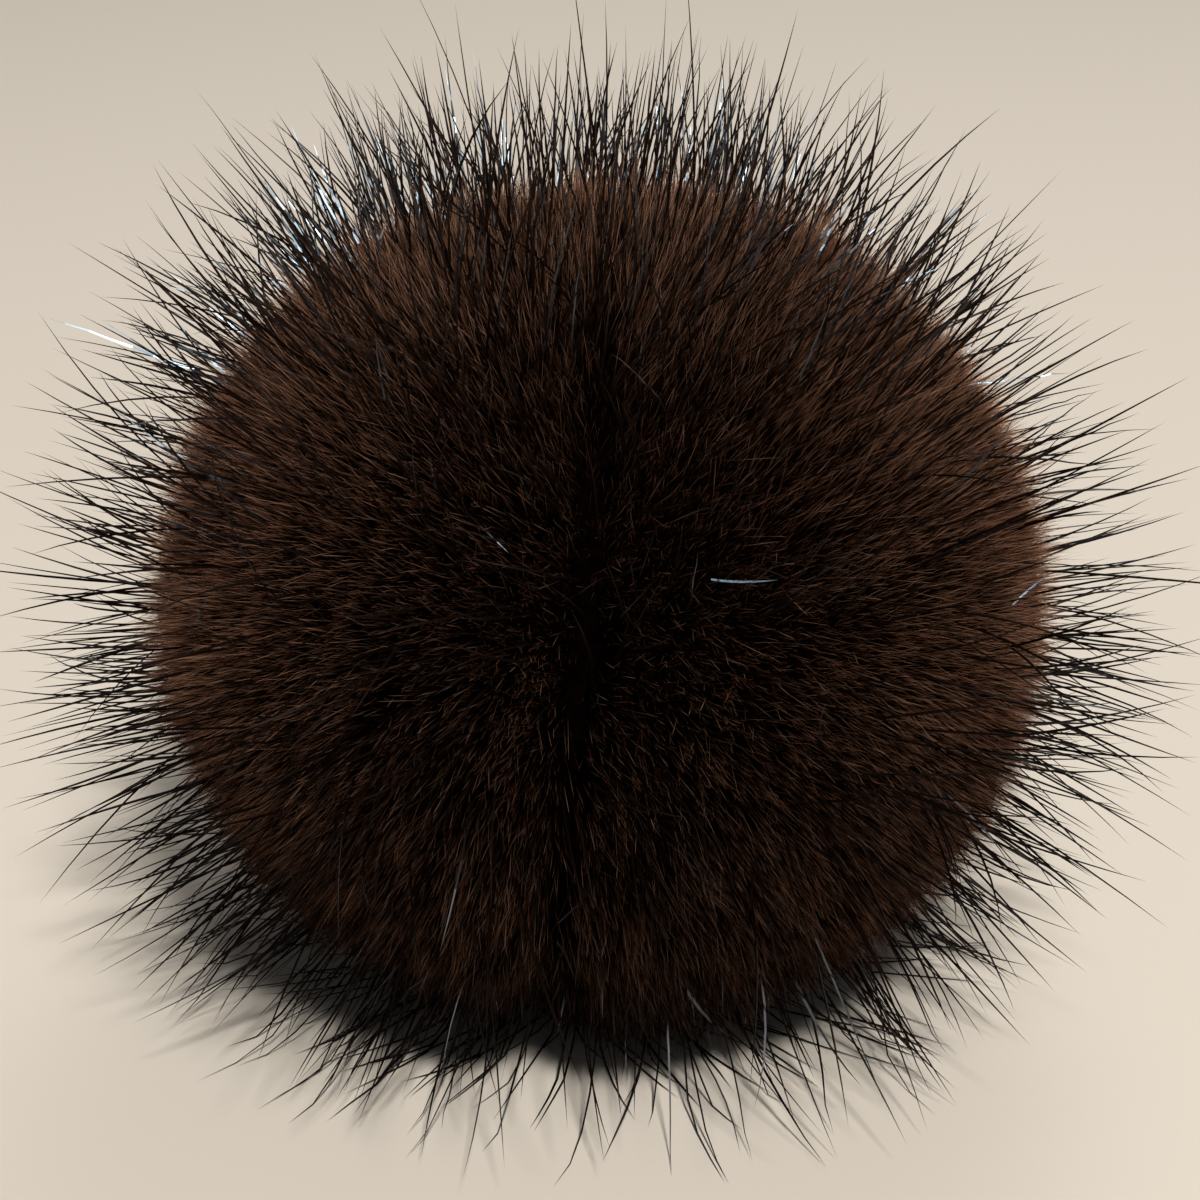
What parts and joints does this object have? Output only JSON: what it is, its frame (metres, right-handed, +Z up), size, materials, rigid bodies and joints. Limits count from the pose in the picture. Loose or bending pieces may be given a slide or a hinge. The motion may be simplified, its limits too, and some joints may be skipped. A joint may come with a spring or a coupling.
{
  "type": "fur pom pom",
  "caption": "Round plush fur ball with long pointed guard hairs standing out all over it, resting on a small flat spot.",
  "frame": {"origin": "centre of the box that holds the ball, at the level of the flat spot it rests on", "axes": "+Z up, the front with its parting towards -Y"},
  "size_m": [0.0806, 0.0796, 0.0657],
  "materials": {
    "fur": "dark brown plush pile with glossy near-black guard hairs"
  },
  "bodies": {
    "root": {"fur_ball": "fur"}
  },
  "joints": []
}
